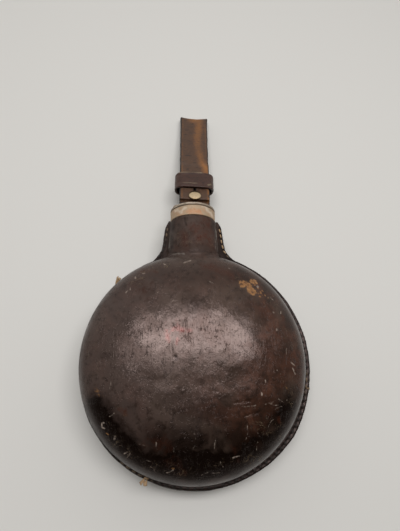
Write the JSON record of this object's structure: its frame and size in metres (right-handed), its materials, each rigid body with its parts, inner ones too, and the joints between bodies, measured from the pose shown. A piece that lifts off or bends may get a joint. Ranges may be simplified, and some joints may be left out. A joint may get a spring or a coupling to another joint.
{
  "type": "leather-covered field canteen",
  "caption": "Round metal flask in a moulded, stitched leather cover, with a screw cap that carries a buttoned leather carrying strap and keeper.",
  "frame": {"origin": "centre of the flat back that the canteen lies on", "axes": "+Z out of the front of the canteen, +Y along the neck towards the cap and strap, +X to the right of someone who looks at the front"},
  "size_m": [0.1722, 0.3209, 0.063],
  "materials": {
    "cover_leather": "moulded oak-brown leather, waxed and burnished nearly black, scuffed",
    "strap_leather": "worn brown strap leather, rubbed orange along the middle",
    "keeper_leather": "dark creased leather",
    "linen_thread": "waxed linen thread, straw coloured where rubbed",
    "worn_plating": "dull plating worn through to copper-coloured metal",
    "stud_metal": "rubbed nickelled brass",
    "flask_metal": "tinned sheet metal, dull",
    "cork": "cork disc"
  },
  "bodies": {
    "canteen": {"flask_front_shell": "flask_metal", "flask_back_shell": "flask_metal", "neck_tube": "flask_metal", "neck_collar": "flask_metal", "cover_front": "cover_leather", "cover_back": "cover_leather", "seam_thread_front": "linen_thread", "seam_thread_back": "linen_thread"},
    "seal": {"cap_seal": "cork"},
    "cap": {"cap_band": "worn_plating", "cap_top": "worn_plating", "strap_staple": "worn_plating"},
    "strap": {"strap": "strap_leather", "strap_stud": "stud_metal", "stud_washer": "flask_metal"},
    "keeper": {"strap_keeper": "keeper_leather"}
  },
  "joints": [
    {"name": "cap_travel", "type": "slide", "parent": "canteen", "child": "seal", "axis": [0, 1, 0], "range_m": [0, 0.0253]},
    {"name": "cap_turn", "type": "hinge", "parent": "seal", "child": "cap", "pos_m": [0, 0.1229, 0.028], "axis": [0, 1, 0], "range_deg": [0, 2160]},
    {"name": "strap_swing", "type": "hinge", "parent": "cap", "child": "strap", "pos_m": [0.0015, 0.12754, 0.028], "axis": [1, 0, 0], "range_deg": [-58, 60]},
    {"name": "keeper_slide", "type": "slide", "parent": "strap", "child": "keeper", "axis": [0.0221, 0.9741, -0.2252], "range_m": [-0.002, 0.05]}
  ],
  "couplings": [
    {"joint": "cap_travel", "follows": "cap_turn", "m_per_rad": 0.00066845}
  ]
}
